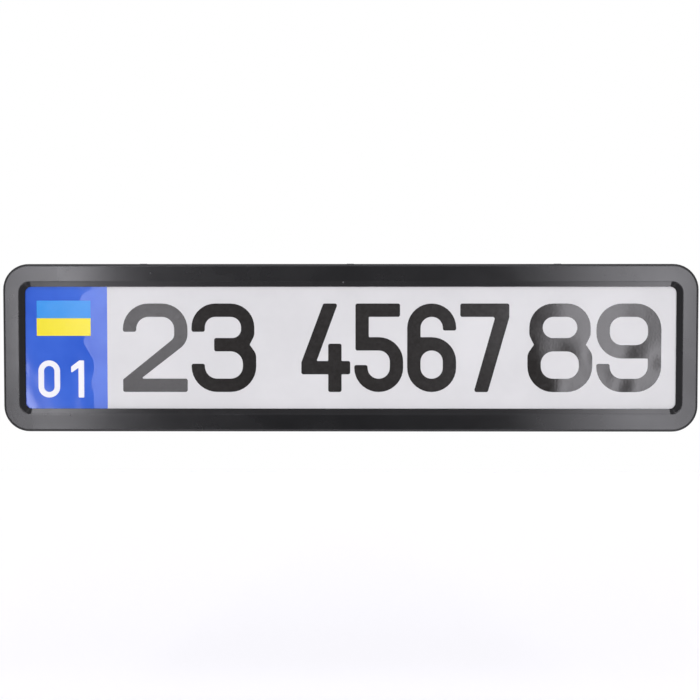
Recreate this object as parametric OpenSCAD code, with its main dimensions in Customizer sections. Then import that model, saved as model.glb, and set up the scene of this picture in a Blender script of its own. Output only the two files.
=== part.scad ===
// Number plate holder: a pressed steel front frame that snaps over a ribbed moulded base,
// with a flat number plate clamped between them.
// Modules draw with x to the right, y up and z towards the viewer, from the mounting plane at z = 0.
// fix_upright() turns that into the part's own frame, with +Z up and the front facing -Y.

/* [Number plate] */
// Width of the plate
plate_w = 520; // [480:1:560]
// Height of the plate
plate_h = 112; // [106:1:130]
// Thickness of the aluminium sheet
plate_t = 1; // [0.8:0.1:2]
// Corner radius of the plate
plate_r = 8; // [3:0.5:12]
// Thickness of the reflective film
film_t = 0.2; // [0.1:0.05:0.4]
// Thickness of the printed fields and numerals
print_t = 0.1; // [0.05:0.05:0.2]

/* [Front frame] */
// How far the frame stands out past each end of the plate
end_margin = 7.5; // [6:0.5:14]
// How far the frame stands out past the plate's top and bottom
edge_margin = 8.6; // [7:0.1:14]
// How far the lip laps over the plate, all round
lip_cover = 8.9; // [6:0.1:11]
// Corner radius of the frame's outside
frame_r = 19.7; // [16:0.1:30]
// Corner radius of the lip's edge
lip_r = 4.8; // [3:0.1:10]
// Thickness of the steel sheet
sheet_t = 0.8; // [0.6:0.1:1]
// Radius of the bend from the face into the outer flange
rim_bend_r = 2; // [1.4:0.1:3]
// Radius of the bend from the face into the lip
lip_bend_r = 1.2; // [1.1:0.1:2]
// Slope of the lip, down from the face
lip_angle = 42; // [34:1:48]
// Width of the sloping lip, seen from the front
lip_run = 4; // [3:0.1:5]
// Gap between the lip's edge and the film
lip_gap = 0.15; // [0.05:0.05:0.4]
// How far the flange's back edge stays in front of the mounting plane
flange_setback = 1.2; // [0.5:0.1:2.5]

/* [Base moulding] */
// Height of the plate's seat above the mounting plane
seat_h = 7; // [6.5:0.1:10]
// Thickness of the panel behind the plate
panel_t = 2; // [1.5:0.1:3]
// Thickness of the ribs
rib_t = 1.6; // [1:0.1:2.4]
// Distance between the upright ribs
rib_pitch = 26; // [22:1:32]
// Distance between the two long ribs
long_rib_gap = 37; // [30:1:44]
// Thickness of the outer rim
rim_t = 1.8; // [1.4:0.1:2.4]
// Thickness of the fence round the plate
fence_t = 1.6; // [1:0.1:2]
// How far the fence stands above the plate's seat
fence_h = 2.2; // [1.4:0.1:2.6]
// Gap between the plate's edge and the fence
plate_gap = 0.6; // [0.3:0.1:1]
// Gap between the base and the frame
base_gap = 0.4; // [0.2:0.1:0.8]
// Room between the panel's windows and the ribs round them
window_inset = 3; // [2:0.5:5]
// Corner radius of the panel's windows
window_r = 2.5; // [1:0.5:4]

/* [Screw slots] */
// Width of a slot
slot_w = 6.5; // [5:0.5:8]
// Length of a slot from end to end
slot_l = 32; // [20:1:34]
// Room for a screw's head round the slot
head_room = 3.6; // [3:0.1:5]
// Thickness of the floor that the screws clamp
tub_floor = 2.5; // [2:0.1:3.5]
// Thickness of the walls round a screw's head
tub_wall = 1.6; // [1.2:0.1:2.4]

/* [Latches] */
// Distance between neighbouring latches
latch_pitch = 160; // [120:1:180]
// Width of a latch tongue
latch_w = 14; // [10:1:20]
// Width of the slit at each side of a tongue
latch_slit = 1.2; // [0.8:0.1:2]
// Thickness of the floor that carries a tongue
latch_floor = 2; // [1.5:0.1:2.6]
// Width of the bead that catches in the frame
bead_w = 5.5; // [4:0.5:8]
// Height of the bead's catching edge above the mounting plane
bead_z = 4.3; // [4:0.1:4.6]
// Length of the bead from its catching edge to the end of its ramp
bead_l = 2.2; // [1.6:0.1:2.4]
// How far the bead stands out of the flange
bead_out = 0.4; // [0.2:0.1:0.8]
// Gap round the bead in its window
bead_gap = 0.3; // [0.2:0.1:0.6]

/* [Print] */
// Width of the coloured band at the plate's left end
band_w = 72.1; // [60:0.1:80]
// Width of the striped field on the band
stripe_w = 41.7; // [30:0.1:50]
// Height of each of its two stripes
stripe_h = 13.6; // [8:0.1:16]
// Height of the field's middle above the plate's middle
stripe_y = 22.8; // [18:0.1:28]
// Height of the large numerals
numeral_h = 68.4; // [50:0.1:80]
// Width of a numeral in the middle group of four
numeral_w = 37.8; // [34:0.1:40]
// Width of a numeral in the two outer groups of two
wide_numeral_w = 50; // [40:0.5:52]
// Stroke of a large numeral
stroke_w = 10.3; // [7:0.1:12]
// Distance between the middles of neighbouring numerals in the middle group
numeral_pitch = 40.9; // [40.5:0.1:43]
// Space between the first group and the middle one
group_space = 34.9; // [10:0.1:36]
// Space between the middle group and the last one
last_space = 14.1; // [8:0.1:20]
// Space between the coloured band and the first numeral
row_x = 12.1; // [6:0.1:16]
// Least space between a numeral and the lip's edge
row_margin = 5; // [2:0.5:10]
// Height of the small numerals on the band
small_numeral_h = 28.8; // [20:0.1:34]
// Width of a small numeral
small_numeral_w = 16.8; // [14:0.1:20]
// Height of the small numerals' middle above the plate's middle
small_numeral_y = -24.2; // [-28:0.1:-20]
// Distance between the middles of the small numerals
small_numeral_pitch = 23; // [21:0.5:28]
// Middle of the stripes and the small numerals, from the opening's left edge
band_mark_x = 29.5; // [26:0.1:34]

/* [Hidden] */
$fn = 48;

// A size to the nearest hundredth of a millimetre
function hundredth(v) = round(100 * v) / 100;

// Sizes worked out from the values above
over = 1;
arc_step = 10;
plate_back = seat_h;
plate_front = plate_back + plate_t;
film_front = plate_front + film_t;
lip_tip_z = film_front + lip_gap + sheet_t * cos(lip_angle);
face_z = hundredth(lip_tip_z + lip_run * tan(lip_angle));
frame_w = plate_w + 2 * end_margin;
frame_h = plate_h + 2 * edge_margin;
opening_w = plate_w - 2 * lip_cover;
opening_h = plate_h - 2 * lip_cover;
flat_u = hundredth(lip_run + lip_bend_r * tan(lip_angle / 2));
base_inset = sheet_t + base_gap;
base_w = frame_w - 2 * base_inset;
base_h = frame_h - 2 * base_inset;
base_r = frame_r - base_inset;
rim_top = face_z - sheet_t - base_gap;
pocket_w = plate_w + 2 * plate_gap;
pocket_h = plate_h + 2 * plate_gap;
pocket_r = plate_r + plate_gap;
panel_back = seat_h - panel_t;
cell_count = floor(pocket_w / rib_pitch / 2);
tub_ribs = [5, 3];
tub_x = tub_ribs[0] * rib_pitch;
tub_y = (long_rib_gap + pocket_h) / 4;
mid_tub_x = tub_ribs[1] * rib_pitch;
latch_x = [-latch_pitch, 0, latch_pitch];
band_edge_x = band_w - plate_w / 2;
band_mark_mid = band_mark_x - opening_w / 2;

// Puts a drawing whose z is towards the viewer into the part's own frame
module fix_upright() {
    rotate([90, 0, 0])
        children();
}

module round_rect(w, h, r) {
    for (x = [-1, 1], y = [-1, 1])
        translate([x * (w / 2 - r), y * (h / 2 - r)])
            circle(r);
    square([w - 2 * r, h], center = true);
    square([w, h - 2 * r], center = true);
}

// A flat shape with two half-round ends, lying along x
module stadium(l, w) {
    for (x = [-1, 1])
        translate([x * (l - w) / 2, 0])
            circle(w / 2);
    square([l - w, w], center = true);
}

// Carries a section round a rounded rectangle. The section's x is the distance outwards
// from the path, and its y is the height above the mounting plane.
module carry_round(w, h, r) {
    for (k = [0 : 3]) {
        across = k % 2 == 0 ? w : h;
        along = k % 2 == 0 ? h : w;
        rotate([0, 0, 90 * k]) {
            rotate([90, 0, 0])
                linear_extrude(along - 2 * r, center = true)
                    translate([across / 2, 0])
                        children();
            translate([across / 2 - r, along / 2 - r, 0])
                rotate_extrude(angle = 90)
                    translate([r, 0])
                        children();
        }
    }
}

// Points of an arc round [cx, cy]
function arc(cx, cy, r, from, to, steps) =
    [for (i = [0 : steps]) let (a = from + (to - from) * i / steps) [cx + r * cos(a), cy + r * sin(a)]];

// Section of the outer flange and its bend, drawn inwards from the frame's outside
module flange_section() {
    centre_z = face_z - rim_bend_r;
    polygon(concat(
        [[0, flange_setback]],
        arc(-rim_bend_r, centre_z, rim_bend_r, 0, 90, 8),
        arc(-rim_bend_r, centre_z, rim_bend_r - sheet_t, 90, 0, 8),
        [[-sheet_t, flange_setback]]
    ));
}

// Section of the sloping lip and its bend, drawn outwards from the opening
module lip_section() {
    bend_z = face_z - lip_bend_r;
    polygon(concat(
        [[sheet_t * sin(lip_angle), lip_tip_z - sheet_t * cos(lip_angle)], [0, lip_tip_z]],
        arc(flat_u, bend_z, lip_bend_r, 90 + lip_angle, 90, 5),
        arc(flat_u, bend_z, lip_bend_r - sheet_t, 90, 90 + lip_angle, 5)
    ));
}

// The flat of the face, between the two bends
module face_flat() {
    translate([0, 0, face_z - sheet_t])
        linear_extrude(sheet_t)
            difference() {
                round_rect(frame_w - 2 * rim_bend_r, frame_h - 2 * rim_bend_r, frame_r - rim_bend_r);
                round_rect(opening_w + 2 * flat_u, opening_h + 2 * flat_u, lip_r + flat_u);
            }
}

// The opening in the flange that a latch bead catches in
module bead_window() {
    translate([
        -bead_w / 2 - 3 * bead_gap,
        frame_h / 2 - sheet_t - over,
        bead_z - bead_gap
    ])
        cube([bead_w + 6 * bead_gap, sheet_t + 2 * over, bead_l + 2 * bead_gap]);
}

// Repeats a latch feature, drawn at the top edge, along the top and the bottom
module at_latches() {
    for (x = latch_x, turn = [0, 180])
        rotate([0, 0, turn])
            translate([x, 0, 0])
                children();
}

module front_frame() {
    color([0.13, 0.13, 0.14])
        fix_upright()
            difference() {
                union() {
                    carry_round(frame_w, frame_h, frame_r)
                        flange_section();
                    face_flat();
                    carry_round(opening_w, opening_h, lip_r)
                        lip_section();
                }
                at_latches()
                    bead_window();
            }
}

// A flat block with rounded corners between two heights
module slab(w, h, r, from, to) {
    translate([0, 0, from])
        linear_extrude(to - from)
            round_rect(w, h, r);
}

// A wall that follows a rounded rectangle, inwards from it
module wall(w, h, r, t, from, to) {
    translate([0, 0, from])
        linear_extrude(to - from)
            difference() {
                round_rect(w, h, r);
                round_rect(w - 2 * t, h - 2 * t, r - t);
            }
}

module ribs() {
    for (i = [1 - cell_count : cell_count - 1])
        translate([i * rib_pitch - rib_t / 2, -base_h / 2 + rim_t / 2, 0])
            cube([rib_t, base_h - rim_t, panel_back + panel_t / 2]);
    for (y = [-1, 1])
        translate([-base_w / 2 + rim_t / 2, y * long_rib_gap / 2 - rib_t / 2, 0])
            cube([base_w - rim_t, rib_t, panel_back + panel_t / 2]);
}

// Repeats a screw tub's feature at its places: four in a rectangle and two on the middle line
module at_tubs() {
    for (x = [-1, 1], y = [-1, 1])
        translate([x * tub_x, y * tub_y, 0])
            children();
    for (x = [-1, 1])
        translate([x * mid_tub_x, 0, 0])
            children();
}

// The slot's outline grown by a margin, between two heights
module slot_shape(grow, from, to) {
    translate([0, 0, from])
        linear_extrude(to - from)
            stadium(slot_l + 2 * grow, slot_w + 2 * grow);
}

module tub_void() {
    slot_shape(head_room, tub_floor, seat_h + over);
}

module tub_block() {
    slot_shape(head_room + tub_wall, 0, panel_back + panel_t / 2);
}

module slot() {
    slot_shape(0, -over, tub_floor + over);
}

// True where a tub takes up the cells on either side of upright rib i, in the middle row or the outer two
function has_tub(i, middle) = abs(i) == tub_ribs[middle ? 1 : 0];

// The panel's windows, one in each cell that has no tub
module windows() {
    cell_w = rib_pitch - rib_t - 2 * window_inset;
    mid_h = long_rib_gap - rib_t - 2 * window_inset;
    side_h = (pocket_h - long_rib_gap) / 2 - rib_t - 2 * window_inset - fence_t;
    for (i = [-cell_count : cell_count - 1])
        translate([(i + 0.5) * rib_pitch, 0, panel_back - over])
            linear_extrude(panel_t + 2 * over) {
                if (!has_tub(i, true) && !has_tub(i + 1, true))
                    round_rect(cell_w, mid_h, window_r);
                if (!has_tub(i, false) && !has_tub(i + 1, false))
                    for (y = [-1, 1])
                        translate([0, y * tub_y])
                            round_rect(cell_w, side_h, window_r);
            }
}

// What is cut away round a latch tongue so that it can bend, drawn at the top edge
module latch_relief() {
    half = latch_w / 2 + latch_slit;
    fence_out = pocket_h / 2 + fence_t;
    translate([-half, fence_out, latch_floor])
        cube([2 * half, base_h / 2 - fence_out + over, face_z]);
}

module latch_floor_patch() {
    half = latch_w / 2 + latch_slit;
    translate([-half, pocket_h / 2, 0])
        cube([2 * half, base_h / 2 - pocket_h / 2, latch_floor]);
}

// A tongue with its bead: a ramp in front, and a square catching edge behind
module latch() {
    top = base_h / 2;
    out = base_gap + sheet_t + bead_out;
    translate([-latch_w / 2, top - rim_t, latch_floor / 2])
        cube([latch_w, rim_t, rim_top - latch_floor / 2]);
    translate([bead_w / 2, top, 0])
        rotate([0, -90, 0])
            linear_extrude(bead_w)
                polygon([
                    [bead_z, -rim_t / 2],
                    [bead_z, out],
                    [bead_z + bead_l / 3, out],
                    [bead_z + bead_l, 0],
                    [bead_z + bead_l, -rim_t / 2]
                ]);
}

module back_base() {
    color([0.1, 0.1, 0.1])
        fix_upright()
            union() {
                difference() {
                    union() {
                        slab(base_w, base_h, base_r, panel_back, seat_h);
                        wall(base_w, base_h, base_r, rim_t, 0, rim_top);
                        wall(
                            pocket_w + 2 * fence_t, pocket_h + 2 * fence_t, pocket_r + fence_t,
                            fence_t, panel_back, seat_h + fence_h
                        );
                        ribs();
                        at_tubs()
                            tub_block();
                        at_latches()
                            latch_floor_patch();
                    }
                    at_tubs() {
                        tub_void();
                        slot();
                    }
                    windows();
                    at_latches()
                        latch_relief();
                }
                at_latches()
                    latch();
            }
}

module plate_outline() {
    round_rect(plate_w, plate_h, plate_r);
}

module band_outline() {
    intersection() {
        plate_outline();
        translate([-plate_w / 2, -plate_h / 2])
            square([band_w, plate_h]);
    }
}

module number_plate() {
    color([0.75, 0.76, 0.78])
        fix_upright()
            translate([0, 0, plate_back])
                linear_extrude(plate_t)
                    plate_outline();
}

module white_film() {
    color([0.88, 0.88, 0.9])
        fix_upright()
            translate([0, 0, plate_front])
                linear_extrude(film_t)
                    difference() {
                        plate_outline();
                        band_outline();
                    }
}

module blue_band() {
    color([0.22, 0.38, 0.82])
        fix_upright()
            translate([0, 0, plate_front])
                linear_extrude(film_t)
                    band_outline();
}

// One stripe of the two-coloured field, above or below its middle line
module stripe(side) {
    fix_upright()
        translate([band_mark_mid - stripe_w / 2, stripe_y + min(side, 0) * stripe_h, film_front])
            cube([stripe_w, stripe_h, print_t]);
}

module band_stripe_upper() {
    color([0.3, 0.62, 0.93])
        stripe(1);
}

module band_stripe_lower() {
    color([1, 0.9, 0.25])
        stripe(-1);
}

function unit(v) = v / norm(v);
function flat2(v) = [v[0], v[1]];
function turned(a) = a > 180 ? a - 360 : a < -180 ? a + 360 : a;

// Rounds one corner of an outline: q is [x, y, radius], and p and s are its neighbours
function round_corner(p, q, s) =
    let (
        a = unit(flat2(p) - flat2(q)),
        b = unit(flat2(s) - flat2(q)),
        half = acos(max(-1, min(1, a * b))) / 2,
        centre = flat2(q) + unit(a + b) * q[2] / sin(half),
        start = flat2(q) + a * q[2] / tan(half) - centre,
        end = flat2(q) + b * q[2] / tan(half) - centre,
        from = atan2(start[1], start[0]),
        sweep = turned(atan2(end[1], end[0]) - from)
    )
    arc(centre[0], centre[1], q[2], from, from + sweep, max(2, ceil(abs(sweep) / arc_step)));

// Points of an outline whose corners are [x, y, radius]
function rounded(pts) =
    let (n = len(pts))
    [for (i = [0 : n - 1]) each round_corner(pts[(i + n - 1) % n], pts[i], pts[(i + 1) % n])];

// One closed outline, from its corners
module outline(pts) {
    polygon(rounded(pts));
}

// Sizes that the ten numerals share. Each is drawn in a box of w by numeral_h from the origin.
least_flat = 0.05;
end_round = stroke_w * 0.155;
crisp = stroke_w * 0.06;
top_in = numeral_h - stroke_w;
bowl_line = numeral_h * 0.62;
waist = numeral_h * 0.535;
neck_half = numeral_h * 0.105;
neck_in = numeral_h * 0.073;
neck_round = numeral_h * 0.117;
upper_set_in = numeral_h * 0.02;
function bowl_out(w) = min(w / 2 - least_flat, numeral_h * 0.29);
function bowl_in(w) = bowl_out(w) - stroke_w;
function right_in(w) = w - stroke_w;
function hook(w) = bowl_out(w) + 1.25 * end_round;

// A rectangle with its corners rounded, by less where there is no room: a bowl, or the hole inside one
module bowl(x0, y0, x1, y1, r) {
    fit = min(r, (x1 - x0) / 2 - least_flat, (y1 - y0) / 2 - least_flat);
    outline([[x0, y0, fit], [x1, y0, fit], [x1, y1, fit], [x0, y1, fit]]);
}

module numeral_0(w) {
    difference() {
        bowl(0, 0, w, numeral_h, bowl_out(w));
        bowl(stroke_w, stroke_w, right_in(w), top_in, bowl_in(w));
    }
}

module numeral_1(w) {
    stem = w * 0.74;
    flag = w * 0.14;
    outline([
        [stem - stroke_w, 0, end_round], [stem, 0, end_round],
        [stem, numeral_h, end_round], [stem - stroke_w * 0.85, numeral_h, end_round],
        [flag, numeral_h * 0.83, end_round], [flag, numeral_h * 0.66, end_round],
        [stem - stroke_w, numeral_h * 0.8, crisp]
    ]);
}

module numeral_2(w) {
    shoulder = numeral_h * 0.2;
    shoulder_in = numeral_h * 0.09;
    outline([
        [0, numeral_h - hook(w), end_round], [0, numeral_h, bowl_out(w)],
        [w, numeral_h, bowl_out(w)], [w, numeral_h * 0.56, shoulder],
        [stroke_w * 1.35, stroke_w, crisp], [w, stroke_w, end_round],
        [w, 0, end_round], [0, 0, end_round], [0, stroke_w * 0.94, end_round],
        [right_in(w), numeral_h * 0.61, shoulder_in], [right_in(w), top_in, bowl_in(w)],
        [stroke_w, top_in, bowl_in(w)], [stroke_w, numeral_h - hook(w), end_round]
    ]);
}

module numeral_3(w) {
    upper_out = bowl_out(w) - upper_set_in;
    upper_in = bowl_in(w) - upper_set_in;
    right = w - upper_set_in;
    bar_left = w * 0.35;
    outline([
        [0, numeral_h - hook(w), end_round], [0, numeral_h, upper_out],
        [right, numeral_h, upper_out], [right, waist + neck_half, neck_round],
        [w - neck_in, waist, crisp], [w, waist - neck_half, neck_round],
        [w, 0, bowl_out(w)], [0, 0, bowl_out(w)], [0, hook(w), end_round],
        [stroke_w, hook(w), end_round], [stroke_w, stroke_w, bowl_in(w)],
        [right_in(w), stroke_w, bowl_in(w)], [right_in(w), waist - stroke_w / 2, bowl_in(w)],
        [bar_left, waist - stroke_w / 2, end_round], [bar_left, waist + stroke_w / 2, end_round],
        [right - stroke_w, waist + stroke_w / 2, upper_in - upper_set_in],
        [right - stroke_w, top_in, upper_in],
        [stroke_w, top_in, upper_in], [stroke_w, numeral_h - hook(w), end_round]
    ]);
}

module numeral_4(w) {
    bar = numeral_h * 0.2;
    bar_top = bar + stroke_w;
    stem = w * 0.55;
    stem_top = bar + stroke_w * 2.3;
    peak = w * 0.45;
    outline([
        [peak, numeral_h, end_round], [peak + stroke_w * 1.09, numeral_h, end_round],
        [stroke_w * 1.15, bar_top, crisp], [stem, bar_top, crisp],
        [stem, stem_top, end_round], [stem + stroke_w, stem_top, end_round],
        [stem + stroke_w, bar_top, crisp], [w, bar_top, end_round],
        [w, bar, end_round], [stem + stroke_w, bar, crisp],
        [stem + stroke_w, 0, end_round], [stem, 0, end_round], [stem, bar, crisp],
        [0, bar, end_round], [0, bar + stroke_w * 0.9, end_round]
    ]);
}

module numeral_5(w) {
    left = w * 0.025;
    right = w * 0.935;
    outline([
        [left, numeral_h, end_round], [right, numeral_h, end_round],
        [right, top_in, end_round], [left + stroke_w, top_in, crisp],
        [left + stroke_w, bowl_line, crisp], [w, bowl_line, bowl_out(w)],
        [w, 0, bowl_out(w)], [0, 0, bowl_out(w)], [0, hook(w), end_round],
        [stroke_w, hook(w), end_round], [stroke_w, stroke_w, bowl_in(w)],
        [right_in(w), stroke_w, bowl_in(w)], [right_in(w), bowl_line - stroke_w, bowl_in(w)],
        [left, bowl_line - stroke_w, end_round]
    ]);
}

module numeral_6(w) {
    difference() {
        outline([
            [0, 0, bowl_out(w)], [w, 0, bowl_out(w)], [w, bowl_line, bowl_out(w)],
            [stroke_w, bowl_line, crisp], [stroke_w, top_in, bowl_in(w)],
            [right_in(w), top_in, bowl_in(w)], [right_in(w), numeral_h - hook(w), end_round],
            [w, numeral_h - hook(w), end_round], [w, numeral_h, bowl_out(w)],
            [0, numeral_h, bowl_out(w)]
        ]);
        bowl(stroke_w, stroke_w, right_in(w), bowl_line - stroke_w, bowl_in(w));
    }
}

module numeral_7(w) {
    foot = w * 0.28;
    lean = stroke_w * 1.05;
    outline([
        [0, numeral_h, end_round], [0, top_in, end_round],
        [w - lean, top_in, end_round], [foot, 0, end_round],
        [foot + lean, 0, end_round], [w, numeral_h - lean, 2.5 * end_round],
        [w, numeral_h, end_round]
    ]);
}

module numeral_8(w) {
    upper_out = bowl_out(w) - upper_set_in;
    left = upper_set_in;
    right = w - upper_set_in;
    difference() {
        outline([
            [0, 0, bowl_out(w)], [w, 0, bowl_out(w)], [w, waist - neck_half, neck_round],
            [w - neck_in, waist, crisp], [right, waist + neck_half, neck_round],
            [right, numeral_h, upper_out], [left, numeral_h, upper_out],
            [left, waist + neck_half, neck_round], [neck_in, waist, crisp],
            [0, waist - neck_half, neck_round]
        ]);
        bowl(stroke_w, stroke_w, right_in(w), waist - stroke_w / 2, bowl_in(w));
        bowl(
            left + stroke_w, waist + stroke_w / 2, right - stroke_w, top_in,
            bowl_in(w) - upper_set_in
        );
    }
}

module numeral_9(w) {
    translate([w, numeral_h])
        rotate(180)
            numeral_6(w);
}

module numeral(n, w) {
    if (n == 0) numeral_0(w);
    if (n == 1) numeral_1(w);
    if (n == 2) numeral_2(w);
    if (n == 3) numeral_3(w);
    if (n == 4) numeral_4(w);
    if (n == 5) numeral_5(w);
    if (n == 6) numeral_6(w);
    if (n == 7) numeral_7(w);
    if (n == 8) numeral_8(w);
    if (n == 9) numeral_9(w);
}

// Plain digits in groups of two, four and two, from the left
row_digits = [2, 3, 4, 5, 6, 7, 8, 9];
row_group = [0, 0, 1, 1, 1, 1, 2, 2];
function digit_w(i) = row_group[i] == 1 ? numeral_w : wide_numeral_w;

// Space on the left of digit i, and the place of its left side
function space_before(i) =
    i == 0 ? row_x
    : row_group[i] == row_group[i - 1] ? numeral_pitch - numeral_w
    : row_group[i] == 1 ? group_space
    : last_space;
function digit_left(i) =
    space_before(i) + (i == 0 ? band_edge_x : digit_left(i - 1) + digit_w(i - 1));

// The row ends with the last digit that fits in the opening
module numerals() {
    color([0.1, 0.1, 0.1])
        fix_upright()
            translate([0, -numeral_h / 2, film_front])
                for (i = [0 : len(row_digits) - 1])
                    if (digit_left(i) + digit_w(i) <= opening_w / 2 - row_margin)
                        translate([digit_left(i), 0, 0])
                            linear_extrude(print_t)
                                numeral(row_digits[i], digit_w(i));
}

module band_numerals() {
    small = small_numeral_h / numeral_h;
    color([0.95, 0.95, 0.95])
        fix_upright()
            for (i = [0, 1])
                translate([
                    band_mark_mid + (i - 0.5) * small_numeral_pitch - small_numeral_w / 2,
                    small_numeral_y - small_numeral_h / 2, film_front
                ])
                    linear_extrude(print_t)
                        scale([small, small])
                            numeral(i, small_numeral_w / small);
}

front_frame();
back_base();
number_plate();
white_film();
blue_band();
band_stripe_upper();
band_stripe_lower();
numerals();
band_numerals();
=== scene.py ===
"""Number plate holder: a satin black steel frame, pressed onto a ribbed base, round a flat number plate."""

import math

import bpy
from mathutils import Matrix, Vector


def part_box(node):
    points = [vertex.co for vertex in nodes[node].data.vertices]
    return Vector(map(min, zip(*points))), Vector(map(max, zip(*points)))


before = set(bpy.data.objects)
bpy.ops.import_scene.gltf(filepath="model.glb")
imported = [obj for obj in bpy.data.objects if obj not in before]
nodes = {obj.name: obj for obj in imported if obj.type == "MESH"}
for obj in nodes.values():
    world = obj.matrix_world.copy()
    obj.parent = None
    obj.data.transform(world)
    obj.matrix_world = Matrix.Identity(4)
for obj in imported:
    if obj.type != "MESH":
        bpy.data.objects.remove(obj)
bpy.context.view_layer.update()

# The camera. It stands square in front of the plate, a little above its middle, as for a catalogue picture.
# The lens is found from the width that the frame fills in the picture, at the depth where its flange begins.
PICTURE_PIXELS = 700
FRAME_LEFT_PIXEL, FRAME_RIGHT_PIXEL = 3.2, 697.3
FRAME_MIDDLE_PIXEL = (350.2, 347.9)
CAMERA_DISTANCE = 0.94
CAMERA_ELEVATION = math.radians(2.0)
CAMERA_AZIMUTH = math.radians(0.4)
SENSOR_WIDTH = 36.0
NEAREST_SEEN = 0.01
RIM_BEND = 0.002

rim_low, rim_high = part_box("front_frame")
width_seen = (rim_high.x - rim_low.x) * PICTURE_PIXELS / (FRAME_RIGHT_PIXEL - FRAME_LEFT_PIXEL)
metres_a_pixel = width_seen / PICTURE_PIXELS
aim = Vector((
    (PICTURE_PIXELS / 2 - FRAME_MIDDLE_PIXEL[0]) * metres_a_pixel,
    rim_low.y + RIM_BEND,
    (FRAME_MIDDLE_PIXEL[1] - PICTURE_PIXELS / 2) * metres_a_pixel,
))
towards_camera = Vector((
    math.sin(CAMERA_AZIMUTH) * math.cos(CAMERA_ELEVATION),
    -math.cos(CAMERA_AZIMUTH) * math.cos(CAMERA_ELEVATION),
    math.sin(CAMERA_ELEVATION),
))
camera_data = bpy.data.cameras.new("camera")
camera_data.sensor_width = SENSOR_WIDTH
camera_data.lens = SENSOR_WIDTH * CAMERA_DISTANCE / width_seen
camera_data.clip_start = NEAREST_SEEN
camera = bpy.data.objects.new("camera", camera_data)
camera.location = aim + CAMERA_DISTANCE * towards_camera
camera.rotation_mode = "QUATERNION"
camera.rotation_quaternion = (-towards_camera).to_track_quat("-Z", "Y")
bpy.context.scene.collection.objects.link(camera)
bpy.context.scene.camera = camera

# The light. Two tall soft lights stand left and right of the camera, in a room that is dim round them.
# Softer light comes from behind the part, and a weak ring of light round the camera fills the rest.
# A white backdrop behind the part shows to the camera and in reflections, and lights nothing else.
LIGHT_COLOUR = (1.0, 0.985, 1.045, 1)
LEFT_LIGHT, LEFT_SPAN = 12.6, (0.196, 0.249, 0.252, 0.293)
RIGHT_LIGHT, RIGHT_SPAN = 6.0, (0.133, 0.238, 0.242, 0.335)
LEFT_SHARES, RIGHT_SHARES = (0.34, 0.50, 0.62), (0.68, 0.92, 0.72)
LIGHT_GAP, GAP_LEAN = (0.20, 0.24, 0.34, 0.40), 0.04
UNDER_LIGHT, UNDER_SPAN, UNDER_EDGE = 0.65, (0.130, 0.170, 0.190, 0.250), (-0.11, -0.06)
RING_LIGHT, RING_AHEAD = 0.31, (0.45, 0.60, 0.88, 0.95)
ROOM_LOW, ROOM_HIGH, ROOM_ASIDE = 0.06, 0.26, 0.33
REAR_LIGHT, REAR_EDGE = 0.85, (0.15, 0.45)
HEIGHT_LOW, HEIGHT_HIGH, HEIGHT_STEEP = -0.11, 0.03, 0.6
FRONT_EDGE, NEAR_EDGE, BACKDROP_EDGE = (-0.10, 0.02), (0.80, 0.90), (0.40, 0.60)

world = bpy.data.worlds.new("soft_room")
bpy.context.scene.world = world
world.use_nodes = True
sky = world.node_tree
sky.nodes.clear()


def add(tree, kind, **settings):
    """A node of that kind, with its properties and its inputs' values set by name."""
    node = tree.nodes.new(kind)
    for name, value in settings.items():
        if hasattr(node, name):
            setattr(node, name, value)
        else:
            node.inputs[name.replace("_", " ")].default_value = value
    return node


def spread(tree, value, low, high, out_low, out_high, soft=False):
    """value, from low to high, carried over to out_low to out_high, evenly or with soft ends."""
    node = add(tree, "ShaderNodeMapRange", interpolation_type="SMOOTHSTEP" if soft else "LINEAR")
    for name, number in (("From Min", low), ("From Max", high), ("To Min", out_low), ("To Max", out_high)):
        node.inputs[name].default_value = number
    tree.links.new(value, node.inputs["Value"])
    return node.outputs["Result"]


def combine(tree, how, a, b):
    """Two values joined by a sum or another operation of the Math node."""
    node = add(tree, "ShaderNodeMath", operation=how)
    for socket, value in zip(node.inputs, (a, b)):
        if isinstance(value, (int, float)):
            socket.default_value = value
        else:
            tree.links.new(value, socket)
    return node.outputs[0]


direction = add(sky, "ShaderNodeTexCoord").outputs["Generated"]
split = add(sky, "ShaderNodeSeparateXYZ")
sky.links.new(direction, split.inputs[0])
right_of_camera = split.outputs["X"]
left_of_camera = combine(sky, "MULTIPLY", right_of_camera, -1)
height = split.outputs["Z"]


def between(value, span, level):
    """level between span's two middle values, falling softly to 0 at its two ends."""
    rise = spread(sky, value, span[0], span[1], 0.0, level, soft=True)
    fall = spread(sky, value, span[2], span[3], 1.0, 0.0, soft=True)
    return combine(sky, "MULTIPLY", rise, fall)


def by_height(low_share, high_share=1.0):
    """A share that goes from low_share a little under the part to high_share a little above it."""
    return spread(sky, height, HEIGHT_LOW, HEIGHT_HIGH, low_share, high_share)


def tall(below, low, above):
    """A tall light's share: 1 at the part's height, low just under it, below and above at its two ends."""
    down = spread(sky, height, -HEIGHT_STEEP, HEIGHT_LOW, below / low, 1.0)
    up = spread(sky, height, HEIGHT_HIGH, HEIGHT_STEEP, 1.0, above)
    return combine(sky, "MULTIPLY", by_height(low), combine(sky, "MULTIPLY", down, up))


ahead = combine(sky, "MULTIPLY", split.outputs["Y"], -1)
in_front = spread(sky, ahead, *FRONT_EDGE, 0.0, 1.0, soft=True)
near = spread(sky, ahead, *NEAR_EDGE, 0.0, 1.0, soft=True)

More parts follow.
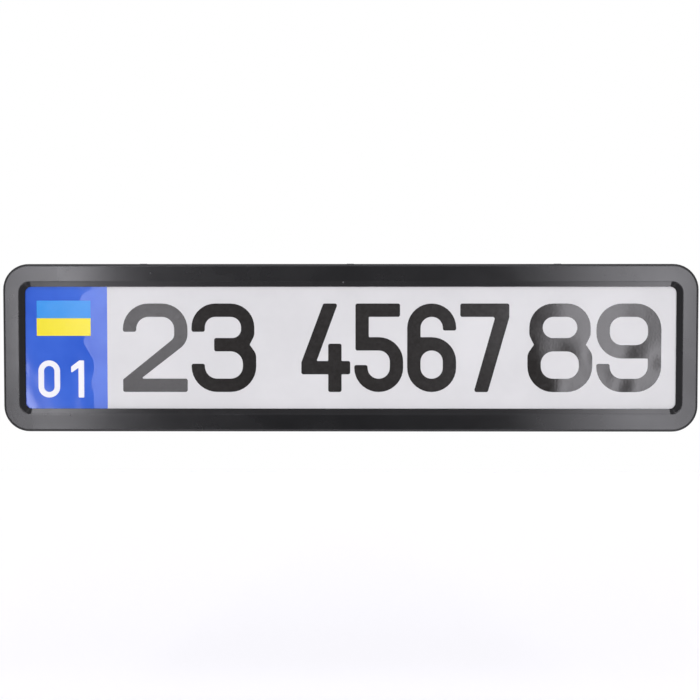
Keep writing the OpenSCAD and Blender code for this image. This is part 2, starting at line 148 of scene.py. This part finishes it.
# Both tall lights have a gap, where the opening's round corners would mirror the light of the other side.
lean = combine(sky, "SUBTRACT", ahead, combine(sky, "MULTIPLY", height, GAP_LEAN))
in_two_parts = combine(sky, "MAXIMUM", spread(sky, lean, *LIGHT_GAP[:2], 1.0, 0.0, soft=True),
                       spread(sky, lean, *LIGHT_GAP[2:], 0.0, 1.0, soft=True))

# The left light, the right light, a faint low one at the left, the ring, the room round the camera,
# the room aside of it, and the light from behind, each a strength and the shares that it is cut down by.
lights = (
    (between(left_of_camera, LEFT_SPAN, LEFT_LIGHT), tall(*LEFT_SHARES), in_front, in_two_parts),
    (between(right_of_camera, RIGHT_SPAN, RIGHT_LIGHT), tall(*RIGHT_SHARES), in_front, in_two_parts),
    (between(left_of_camera, UNDER_SPAN, UNDER_LIGHT), spread(sky, height, *UNDER_EDGE, 1.0, 0.0), in_front),
    (between(ahead, RING_AHEAD, RING_LIGHT),),
    (by_height(ROOM_LOW, ROOM_HIGH), near),
    (spread(sky, near, 0.0, 1.0, ROOM_ASIDE, 0.0),),
    (spread(sky, split.outputs["Y"], *REAR_EDGE, 0.0, REAR_LIGHT, soft=True),),
)
level = None
for strength, *shares in lights:
    for share in shares:
        strength = combine(sky, "MULTIPLY", strength, share)
    level = strength if level is None else combine(sky, "ADD", level, strength)
studio = add(sky, "ShaderNodeBackground", Color=LIGHT_COLOUR)
sky.links.new(level, studio.inputs["Strength"])

backdrop = add(sky, "ShaderNodeBackground", Color=(1, 1, 1, 1), Strength=1.0)
ray = add(sky, "ShaderNodeLightPath")
behind = spread(sky, split.outputs["Y"], *BACKDROP_EDGE, 0.0, 1.0, soft=True)
mirrored = combine(sky, "MULTIPLY", ray.outputs["Is Glossy Ray"], behind)
shown = combine(sky, "MAXIMUM", ray.outputs["Is Camera Ray"], mirrored)
choose = add(sky, "ShaderNodeMixShader")
sky.links.new(shown, choose.inputs[0])
sky.links.new(studio.outputs[0], choose.inputs[1])
sky.links.new(backdrop.outputs[0], choose.inputs[2])
out = add(sky, "ShaderNodeOutputWorld")
sky.links.new(choose.outputs[0], out.inputs["Surface"])

# The floor. A plain pale sheet well under the part and behind it, which keeps the part's soft shadow.
# It ends just in front of the part, so that the frame's lower bends mirror the dim room, as in the picture.
FLOOR_DROP = 0.30
FLOOR_HALF = 1.5
FLOOR_FRONT = -0.03
FLOOR_COLOUR = (0.94, 0.94, 0.94, 1)
FLOOR_GLOW = 0.19

corners = [
    (-FLOOR_HALF, FLOOR_FRONT),
    (FLOOR_HALF, FLOOR_FRONT),
    (FLOOR_HALF, FLOOR_HALF),
    (-FLOOR_HALF, FLOOR_HALF),
]
floor_mesh = bpy.data.meshes.new("floor")
floor_mesh.from_pydata([(x, y, -FLOOR_DROP) for x, y in corners], [], [(0, 1, 2, 3)])
floor = bpy.data.objects.new("floor", floor_mesh)
bpy.context.scene.collection.objects.link(floor)

# To the camera alone the sheet also glows a little, which brings its pale grey to white.
paper = bpy.data.materials.new("pale_paper")
paper.use_nodes = True
sheet = paper.node_tree
sheet.nodes.clear()
matt = add(sheet, "ShaderNodeBsdfDiffuse", Color=FLOOR_COLOUR)
glow = add(sheet, "ShaderNodeEmission", Color=(1, 1, 1, 1), Strength=FLOOR_GLOW)
seen = add(sheet, "ShaderNodeLightPath")
lit = add(sheet, "ShaderNodeAddShader")
sheet.links.new(matt.outputs[0], lit.inputs[0])
sheet.links.new(glow.outputs[0], lit.inputs[1])
pick = add(sheet, "ShaderNodeMixShader")
sheet.links.new(seen.outputs["Is Camera Ray"], pick.inputs[0])
sheet.links.new(matt.outputs[0], pick.inputs[1])
sheet.links.new(lit.outputs[0], pick.inputs[2])
paper_out = add(sheet, "ShaderNodeOutputMaterial")
sheet.links.new(pick.outputs[0], paper_out.inputs["Surface"])
floor_mesh.materials.append(paper)

# The pressed frame. It is one ring of thin steel sheet, pressed and then powder coated satin black.
# It snaps over the base's latches, and its sloping lip holds the plate down.
# The coat is rougher on the outer bend, and has two small chips.
GLOSS_IOR = 1.5
PATTERN_RANGE = (0.32, 0.68)
COAT_COLOURS = (0.0115, 0.0115, 0.0120, 1), (0.0150, 0.0150, 0.0155, 1)
COAT_ROUGHNESS, COAT_ROUGHNESS_RANGE = 0.14, (0.12, 0.17)
COAT_CLOUDS = (22.0, 4.0, 0.6)
ORANGE_PEEL_WAVES, ORANGE_PEEL_HEIGHT = 900.0, 0.000004
RIM_CORNER, RIM_INSIDE, RIM_ROUGHER = 0.0197, (0.0021, 0.0013), 0.30
CHIP_COLOUR = (0.20, 0.20, 0.20, 1)
CHIP_CORE = 0.6

# Each chip's place across and up the front, its radius and its strength.
CHIPS = ((-0.0053, 0.0505, 0.00075, 0.6), (-0.1534, 0.0577, 0.0006, 0.3))


def surface(name, colour, roughness, metallic=0.0):
    """A material with one main shader, whose constants sit on its own sockets, and its Object coordinates."""
    material = bpy.data.materials.new(name)
    material.use_nodes = True
    tree = material.node_tree
    shader = tree.nodes["Principled BSDF"]
    shader.inputs["Base Color"].default_value = colour
    shader.inputs["Roughness"].default_value = roughness
    shader.inputs["IOR"].default_value = GLOSS_IOR
    shader.inputs["Metallic"].default_value = metallic
    place = add(tree, "ShaderNodeTexCoord").outputs["Object"]
    return material, tree, shader, place


def noise(tree, place, waves, detail=3.0, roughness=0.5):
    """Soft three-dimensional noise of that many waves a metre."""
    node = add(tree, "ShaderNodeTexNoise", Scale=waves, Detail=detail, Roughness=roughness)
    tree.links.new(place, node.inputs["Vector"])
    return node.outputs["Fac"]


def ripple(tree, place, waves, height_m, detail=2.0, roughness=0.5):
    """Noise of that many waves a metre and that height, in metres."""
    return combine(tree, "MULTIPLY", noise(tree, place, waves, detail, roughness), height_m)


def tint(tree, factor, colour_a, colour_b):
    """A colour that goes from colour_a to colour_b as factor goes from 0 to 1."""
    node = add(tree, "ShaderNodeMix", data_type="RGBA")
    node.inputs[6].default_value = colour_a
    node.inputs[7].default_value = colour_b
    tree.links.new(factor, node.inputs[0])
    return node.outputs[2]


def bump(tree, shader, height_m):
    """Turns the shader's normal by a height field in metres."""
    node = add(tree, "ShaderNodeBump", Strength=1.0, Distance=1.0)
    tree.links.new(height_m, node.inputs["Height"])
    tree.links.new(node.outputs["Normal"], shader.inputs["Normal"])


def finish(tree, shader, pattern, colours, roughnesses, relief):
    """Lets one pattern vary the colour and the roughness, and relief, a height in metres, turn the normal."""
    part = spread(tree, pattern, *PATTERN_RANGE, 0.0, 1.0)
    tree.links.new(tint(tree, part, *colours), shader.inputs["Base Color"])
    tree.links.new(spread(tree, part, 0.0, 1.0, *roughnesses), shader.inputs["Roughness"])
    bump(tree, shader, relief)


def roughen(tree, shader, more):
    """Adds more to the roughness that finish gave."""
    even = shader.inputs["Roughness"].links[0].from_socket
    tree.links.new(combine(tree, "ADD", even, more), shader.inputs["Roughness"])


def dress(node_name, material):
    """Gives a carried-over piece its finish."""
    mesh = nodes[node_name].data
    mesh.materials.clear()
    mesh.materials.append(material)


def length_after(tree, place, steps):
    """How long the vector of a place is after some vector operations, each with its second vector or None."""
    vector = place
    for how, second in steps:
        step = add(tree, "ShaderNodeVectorMath", operation=how)
        tree.links.new(vector, step.inputs[0])
        if second:
            step.inputs[1].default_value = second
        vector = step.outputs[0]
    length = add(tree, "ShaderNodeVectorMath", operation="LENGTH")
    tree.links.new(vector, length.inputs[0])
    return length.outputs["Value"]


def speck(tree, place, x, z, radius):
    """1 within a small round spot of the front, with a soft edge, and 0 elsewhere."""
    away = length_after(tree, place, (("SUBTRACT", (x, 0, z)), ("MULTIPLY", (1, 0, 1))))
    return spread(tree, away, radius * CHIP_CORE, radius, 1.0, 0.0, soft=True)


def past_corner_middle(tree, place):
    """How far a place of the frame lies outside the box through the middles of its four round corners."""
    middle, half = (rim_low + rim_high) / 2, (rim_high - rim_low) / 2
    return length_after(tree, place, (
        ("SUBTRACT", (middle.x, 0, middle.z)),
        ("MULTIPLY", (1, 0, 1)),
        ("ABSOLUTE", None),
        ("SUBTRACT", (half.x - RIM_CORNER, 0, half.z - RIM_CORNER)),
        ("MAXIMUM", (0, 0, 0)),
    ))


coat, tree, shader, place = surface("satin_black_coat", COAT_COLOURS[0], COAT_ROUGHNESS)
finish(tree, shader, noise(tree, place, *COAT_CLOUDS), COAT_COLOURS, COAT_ROUGHNESS_RANGE,
       ripple(tree, place, ORANGE_PEEL_WAVES, ORANGE_PEEL_HEIGHT))
worn = shader.inputs["Base Color"].links[0].from_socket
for x, z, radius, strength in CHIPS:
    chip = combine(tree, "MULTIPLY", speck(tree, place, x, z, radius), strength)
    mixed = add(tree, "ShaderNodeMix", data_type="RGBA")
    mixed.inputs[7].default_value = CHIP_COLOUR
    tree.links.new(chip, mixed.inputs[0])
    tree.links.new(worn, mixed.inputs[6])
    worn = mixed.outputs[2]
tree.links.new(worn, shader.inputs["Base Color"])
rim_starts, rim_is_full = (RIM_CORNER - inside for inside in RIM_INSIDE)
past_middle = past_corner_middle(tree, place)
roughen(tree, shader, spread(tree, past_middle, rim_starts, rim_is_full, 0.0, RIM_ROUGHER))
dress("front_frame", coat)

# The base. It is one black plastic moulding with a fine grain, which is screwed to the car through its slots.
# The plate lies on it inside a low fence, and its latches hold the frame.
BASE_COLOURS = (0.020, 0.020, 0.021, 1), (0.026, 0.026, 0.027, 1)
BASE_ROUGHNESS, BASE_ROUGHNESS_RANGE = 0.48, (0.42, 0.56)
BASE_CLOUDS = 14.0
GRAIN_WAVES, GRAIN_HEIGHT, GRAIN_DETAIL = 2400.0, 0.000018, (3.0, 0.6)

moulding, tree, shader, place = surface("grained_black_plastic", BASE_COLOURS[0], BASE_ROUGHNESS)
finish(tree, shader, noise(tree, place, BASE_CLOUDS), BASE_COLOURS, BASE_ROUGHNESS_RANGE,
       ripple(tree, place, GRAIN_WAVES, GRAIN_HEIGHT, *GRAIN_DETAIL))
dress("back_base", moulding)

# The plate. It is a flat aluminium sheet with round corners, held between the base and the frame's lip.
# Its back is bare metal, left as it was rolled, with fine lines along its length.
PLATE_COLOURS = (0.72, 0.73, 0.75, 1), (0.76, 0.77, 0.79, 1)
PLATE_ROUGHNESS, PLATE_ROUGHNESS_RANGE = 0.34, (0.28, 0.42)
ROLLED_STRETCH, ROLLED_LINES, ROLLED_HEIGHT = (12.0, 900.0, 900.0), (1.0, 4.0, 0.6), 0.000003

mill, tree, shader, place = surface("mill_aluminium", PLATE_COLOURS[0], PLATE_ROUGHNESS, metallic=1.0)
stretch = add(tree, "ShaderNodeMapping")
stretch.inputs["Scale"].default_value = ROLLED_STRETCH
tree.links.new(place, stretch.inputs["Vector"])
rolled = noise(tree, stretch.outputs[0], *ROLLED_LINES)
finish(tree, shader, rolled, PLATE_COLOURS, PLATE_ROUGHNESS_RANGE,
       combine(tree, "MULTIPLY", rolled, ROLLED_HEIGHT))
dress("number_plate", mill)

# The white film. It is a smooth reflective sheet glued to the plate, a cool grey white with fine glass beads.
# The plate bows out a little under it. The solids are flat, so the relief of its finish gives that bow.
BOW = 0.18
FILM_COLOURS = (0.713, 0.713, 0.703, 1), (0.777, 0.777, 0.766, 1)
FILM_ROUGHNESS, FILM_ROUGHNESS_RANGE = 0.42, (0.38, 0.46)
FILM_CLOUDS = (16.0, 4.0, 0.6)
BEAD_WAVES, BEAD_HEIGHT = 1500.0, 0.000004


def axis(tree, place, name):
    """One coordinate of the place."""
    axes = add(tree, "ShaderNodeSeparateXYZ")
    tree.links.new(place, axes.inputs[0])
    return axes.outputs[name]


def stacked(tree, *reliefs):
    """The height of several reliefs that lie one over the other, in metres."""
    total = reliefs[0]
    for relief in reliefs[1:]:
        total = combine(tree, "ADD", total, relief)
    return total


def bowed(tree, place, *reliefs):
    """Height of the plate's slight bow, -BOW x^2 / 2, with other reliefs over it, in metres."""
    x = axis(tree, place, "X")
    return stacked(tree, combine(tree, "MULTIPLY", combine(tree, "MULTIPLY", x, x), -BOW / 2), *reliefs)


white, tree, shader, place = surface("white_reflective_film", FILM_COLOURS[0], FILM_ROUGHNESS)
finish(tree, shader, noise(tree, place, *FILM_CLOUDS), FILM_COLOURS, FILM_ROUGHNESS_RANGE,
       bowed(tree, place, ripple(tree, place, BEAD_WAVES, BEAD_HEIGHT)))
dress("white_film", white)

# The blue band. It is a glossy blue film, glued on by hand over the plate's left end.
# It dips along a crease beside the stripes, so that only the strip right of it mirrors the left light.
# At its lower left it has lifted a little from a slanting fold, and there it catches the light again.
BLUE_COLOURS = (0.029, 0.115, 0.635, 1), (0.050, 0.158, 0.73, 1)
BLUE_ROUGHNESS, BLUE_ROUGHNESS_RANGE = 0.12, (0.11, 0.15)
BLUE_CLOUDS = 26.0
BLUE_WAVES, BLUE_HEIGHT = 45.0, 0.00005
DISH, DISH_MIDDLE = 0.532, -0.2660
CREASE_X, CREASE_SLOPE, CREASE_REACH = -0.2045, 0.050, 0.016
CREASE_WAVES, CREASE_SWAY = 34.0, 0.012
FOLD_START, FOLD_END = (-0.2515, 0.0010), (-0.2240, -0.0460)
FOLD_WIDTH, FOLD_SLOPE = 0.014, 0.061
FOLD_WAVES, FOLD_SWAY = 40.0, 0.003
SWAY_RANGE, SWAY_DETAIL = (0.3, 0.7), 1.0


def dished(tree, place, bend, middle):
    """Height of a shallow dish across the plate, bend (x - middle)^2 / 2, in metres."""
    away = combine(tree, "SUBTRACT", axis(tree, place, "X"), middle)
    return combine(tree, "MULTIPLY", combine(tree, "MULTIPLY", away, away), bend / 2)


def sway(tree, place, waves, reach):
    """Soft noise that goes to and fro by reach in all."""
    return spread(tree, noise(tree, place, waves, SWAY_DETAIL), *SWAY_RANGE, -reach / 2, reach / 2)


blue, tree, shader, place = surface("glossy_blue_film", BLUE_COLOURS[0], BLUE_ROUGHNESS)
right_of_crease = combine(tree, "SUBTRACT", axis(tree, place, "X"), CREASE_X)
near_crease = spread(tree, right_of_crease, -CREASE_REACH, 0.0, 0.0, 1.0, soft=True)
swayed = combine(tree, "MULTIPLY", sway(tree, place, CREASE_WAVES, CREASE_SWAY), near_crease)
left_side = combine(tree, "MINIMUM", combine(tree, "ADD", right_of_crease, swayed), 0.0)
dip = combine(tree, "MULTIPLY", left_side, CREASE_SLOPE)

along_x, along_z = FOLD_END[0] - FOLD_START[0], FOLD_END[1] - FOLD_START[1]
fold_length = math.hypot(along_x, along_z)
from_fold = add(tree, "ShaderNodeVectorMath", operation="SUBTRACT")
from_fold.inputs[1].default_value = (FOLD_START[0], 0, FOLD_START[1])
tree.links.new(place, from_fold.inputs[0])
past_fold = add(tree, "ShaderNodeVectorMath", operation="DOT_PRODUCT")
past_fold.inputs[1].default_value = (along_z / fold_length, 0, -along_x / fold_length)
tree.links.new(from_fold.outputs[0], past_fold.inputs[0])
wavy_fold = combine(tree, "ADD", past_fold.outputs["Value"], sway(tree, place, FOLD_WAVES, FOLD_SWAY))
lifted = add(tree, "ShaderNodeMath", operation="SMOOTH_MAX")
tree.links.new(wavy_fold, lifted.inputs[0])
lifted.inputs[1].default_value = 0.0
lifted.inputs[2].default_value = FOLD_WIDTH
curl = combine(tree, "MULTIPLY", lifted.outputs[0], FOLD_SLOPE)

relief = stacked(tree, dished(tree, place, DISH, DISH_MIDDLE), dip, curl,
                 ripple(tree, place, BLUE_WAVES, BLUE_HEIGHT))
finish(tree, shader, noise(tree, place, BLUE_CLOUDS), BLUE_COLOURS, BLUE_ROUGHNESS_RANGE, relief)
dress("blue_band", blue)

# The band's two stripes. Each is a plain field of glossy ink, light blue above and yellow below.
# They are printed a little wavy on the band, and bow out with the plate.
LIGHT_BLUE_INK = (0.021, 0.304, 0.83, 1), (0.029, 0.318, 0.85, 1)
YELLOW_INK = (0.95, 0.805, 0.012, 1), (0.965, 0.825, 0.020, 1)
INK_ROUGHNESS, INK_ROUGHNESS_RANGE = 0.2, (0.16, 0.26)
INK_CLOUDS = 90.0
INK_WAVES, INK_HEIGHT = 45.0, 0.0002


def print_in(ink_name, colours, piece):
    """Gives a printed piece a glossy ink that follows the plate's bow."""
    ink, tree, shader, place = surface(ink_name, colours[0], INK_ROUGHNESS)
    finish(tree, shader, noise(tree, place, INK_CLOUDS), colours, INK_ROUGHNESS_RANGE,
           bowed(tree, place, ripple(tree, place, INK_WAVES, INK_HEIGHT)))
    dress(piece, ink)


print_in("light_blue_ink", LIGHT_BLUE_INK, "band_stripe_upper")
print_in("yellow_ink", YELLOW_INK, "band_stripe_lower")

# The band's small numerals. They are plain white digits, low on the band.
# They are printed in the same kind of glossy ink as the stripes.
WHITE_INK = (0.92, 0.92, 0.92, 1), (0.94, 0.94, 0.94, 1)

print_in("white_ink", WHITE_INK, "band_numerals")

# The large numerals. They are cut from glossy black foil and glued onto the film one by one.
# The first is slightly dished and hazy, and mirrors the left light evenly. The middle four are a little hazy.
# The last two have lifted in soft ripples, most of all near their feet.
FOIL_COLOURS = (0.0195, 0.0178, 0.0165, 1), (0.0268, 0.0246, 0.0230, 1)
FOIL_ROUGHNESS, FOIL_ROUGHNESS_RANGE = 0.08, (0.07, 0.12)
FOIL_GRAIN = (420.0, 3.0, 0.6)
FOIL_WAVES, FOIL_HEIGHT = 600.0, 0.00003
FOIL_BOW = 0.10
FIRST_END, FIRST_MIDDLE = -0.1243, -0.2112
FIRST_HAZE, GROUP_HAZE = (-0.26, FIRST_END, 0.10), (-0.056, 0.1293, 0.075)
HAZE_EDGE = 0.001
LIFT_ACROSS, LIFT_UP, LIFT_AT_TOP = (0.08, 0.17), (-0.012, 0.016), 0.25
LIFT_WAVES, LIFT_HEIGHT, LIFT_DETAIL = 20.0, 0.0028, 1.0


def between_sides(tree, x, left, right, amount):
    """amount between two places across the plate, and 0 elsewhere."""
    rise = spread(tree, x, left, left + HAZE_EDGE, 0.0, amount)
    fall = spread(tree, x, right - HAZE_EDGE, right, 1.0, 0.0)
    return combine(tree, "MULTIPLY", rise, fall)


foil, tree, shader, place = surface("glossy_black_foil", FOIL_COLOURS[0], FOIL_ROUGHNESS)
x = axis(tree, place, "X")
foil_bend = add(tree, "ShaderNodeMix", data_type="FLOAT")
tree.links.new(combine(tree, "GREATER_THAN", x, FIRST_END), foil_bend.inputs[0])
tree.links.new(dished(tree, place, DISH, FIRST_MIDDLE), foil_bend.inputs[2])
tree.links.new(dished(tree, place, -FOIL_BOW, 0.0), foil_bend.inputs[3])
grows = combine(tree, "MULTIPLY", spread(tree, x, *LIFT_ACROSS, 0.0, 1.0, soft=True),
                spread(tree, axis(tree, place, "Z"), *LIFT_UP, 1.0, LIFT_AT_TOP, soft=True))
lift = combine(tree, "MULTIPLY", ripple(tree, place, LIFT_WAVES, LIFT_HEIGHT, LIFT_DETAIL), grows)
relief = stacked(tree, foil_bend.outputs[0], lift, ripple(tree, place, FOIL_WAVES, FOIL_HEIGHT))
finish(tree, shader, noise(tree, place, *FOIL_GRAIN), FOIL_COLOURS, FOIL_ROUGHNESS_RANGE, relief)
haze = combine(tree, "ADD", between_sides(tree, x, *FIRST_HAZE), between_sides(tree, x, *GROUP_HAZE))
roughen(tree, shader, haze)
dress("numerals", foil)

bpy.context.scene.view_settings.view_transform = "Standard"
